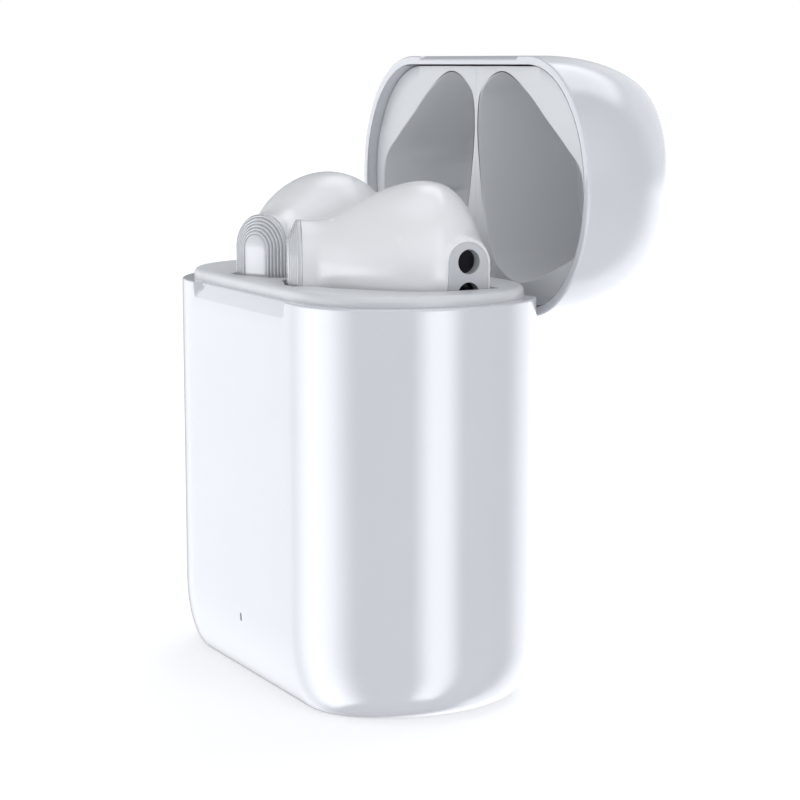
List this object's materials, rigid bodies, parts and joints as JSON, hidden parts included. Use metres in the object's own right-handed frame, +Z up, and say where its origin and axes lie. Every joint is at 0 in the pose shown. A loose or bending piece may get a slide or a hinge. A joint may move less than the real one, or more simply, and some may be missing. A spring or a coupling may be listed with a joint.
{
  "type": "wireless earbuds charging case",
  "caption": "Pocket charging case with a hinged domed lid, stemmed wireless earbuds seated in shaped wells, ribbed touch caps and a front status light.",
  "frame": {"origin": "middle of the charging port's mouth in the flat foot the case stands on, on the centre plane between the earbuds and between the front and back faces", "axes": "+Z up out of the wells, -Y out of the front face with the status light, +Y to the hinge, +X to the right-hand earbud's side; the lid is stored open at a right angle, standing behind the case"},
  "size_m": [0.0412, 0.0364, 0.0561],
  "materials": {
    "shell_white": "polished white moulded shell",
    "tray_grey": "satin pale grey moulding",
    "liner_grey": "satin grey moulding",
    "bud_white": "polished white moulding",
    "cap_pearl": "polished pale grey ribs",
    "plate_grey": "satin grey pill-shaped plate",
    "sight_black": "smoked black window",
    "hinge_steel": "plain steel",
    "arm_white": "satin moulding",
    "contact_gold": "gold-plated contact",
    "magnet_nickel": "nickel plating",
    "board_green": "solder-masked board",
    "chip_black": "moulded black resin",
    "cell_foil": "foil pouch",
    "foam_black": "closed-cell foam",
    "light_clear": "milky light guide",
    "grille_steel": "fine punched mesh",
    "driver_black": "black speaker frame"
  },
  "bodies": {
    "case": {"case_shell": "shell_white", "inner_tray": "tray_grey", "hinge_bracket": "hinge_steel", "hinge_pin": "hinge_steel", "bracket_screws": "hinge_steel", "main_board": "board_green", "board_screws": "hinge_steel", "charging_port": "hinge_steel", "port_tongue": "chip_black", "charge_chip": "chip_black", "status_led": "light_clear", "light_pipe": "light_clear", "battery_foam": "foam_black", "case_battery": "cell_foil", "case_magnets": "magnet_nickel", "hall_sensor": "chip_black", "right_well_magnet": "magnet_nickel", "right_pogo_block": "chip_black", "left_well_magnet": "magnet_nickel", "left_pogo_block": "chip_black"},
    "lid": {"lid_shell": "shell_white", "lid_liner": "liner_grey", "lid_magnets": "magnet_nickel", "lid_hinge_arm": "arm_white"},
    "right_earbud": {"right_touch_cap": "cap_pearl", "right_stem_shell": "bud_white", "right_stem_tip": "tray_grey", "right_charge_contacts": "contact_gold", "right_stem_magnet": "magnet_nickel", "right_stem_board": "board_green", "right_head_shell": "bud_white", "right_head_base": "bud_white", "right_speaker_grille": "grille_steel", "right_speaker_driver": "driver_black", "right_bud_battery": "cell_foil", "right_head_board": "board_green", "right_sensor_plate": "plate_grey", "right_sensor_windows": "sight_black"},
    "right_spring_pin_inner": {"right_pogo_pin_inner": "contact_gold"},
    "right_spring_pin_outer": {"right_pogo_pin_outer": "contact_gold"},
    "left_earbud": {"left_touch_cap": "cap_pearl", "left_stem_shell": "bud_white", "left_stem_tip": "tray_grey", "left_charge_contacts": "contact_gold", "left_stem_magnet": "magnet_nickel", "left_stem_board": "board_green", "left_head_shell": "bud_white", "left_head_base": "bud_white", "left_speaker_grille": "grille_steel", "left_speaker_driver": "driver_black", "left_bud_battery": "cell_foil", "left_head_board": "board_green", "left_sensor_plate": "plate_grey", "left_sensor_windows": "sight_black"},
    "left_spring_pin_inner": {"left_pogo_pin_inner": "contact_gold"},
    "left_spring_pin_outer": {"left_pogo_pin_outer": "contact_gold"}
  },
  "joints": [
    {"name": "lid_hinge", "type": "hinge", "parent": "case", "child": "lid", "pos_m": [0, 0.0105, 0.0341], "axis": [-1, 0, 0], "range_deg": [-90, 10]},
    {"name": "right_earbud_lift", "type": "slide", "parent": "case", "child": "right_earbud", "axis": [0, 0, 1], "range_m": [0, 0.04]},
    {"name": "left_earbud_lift", "type": "slide", "parent": "case", "child": "left_earbud", "axis": [0, 0, 1], "range_m": [0, 0.04]},
    {"name": "right_spring_pin_inner_travel", "type": "slide", "parent": "case", "child": "right_spring_pin_inner", "axis": [0, 0, 1], "range_m": [-0.0004, 0], "stiffness_N_per_m": 600, "springref_m": 0.0002},
    {"name": "right_spring_pin_outer_travel", "type": "slide", "parent": "case", "child": "right_spring_pin_outer", "axis": [0, 0, 1], "range_m": [-0.0004, 0], "stiffness_N_per_m": 600, "springref_m": 0.0002},
    {"name": "left_spring_pin_inner_travel", "type": "slide", "parent": "case", "child": "left_spring_pin_inner", "axis": [0, 0, 1], "range_m": [-0.0004, 0], "stiffness_N_per_m": 600, "springref_m": 0.0002},
    {"name": "left_spring_pin_outer_travel", "type": "slide", "parent": "case", "child": "left_spring_pin_outer", "axis": [0, 0, 1], "range_m": [-0.0004, 0], "stiffness_N_per_m": 600, "springref_m": 0.0002}
  ]
}
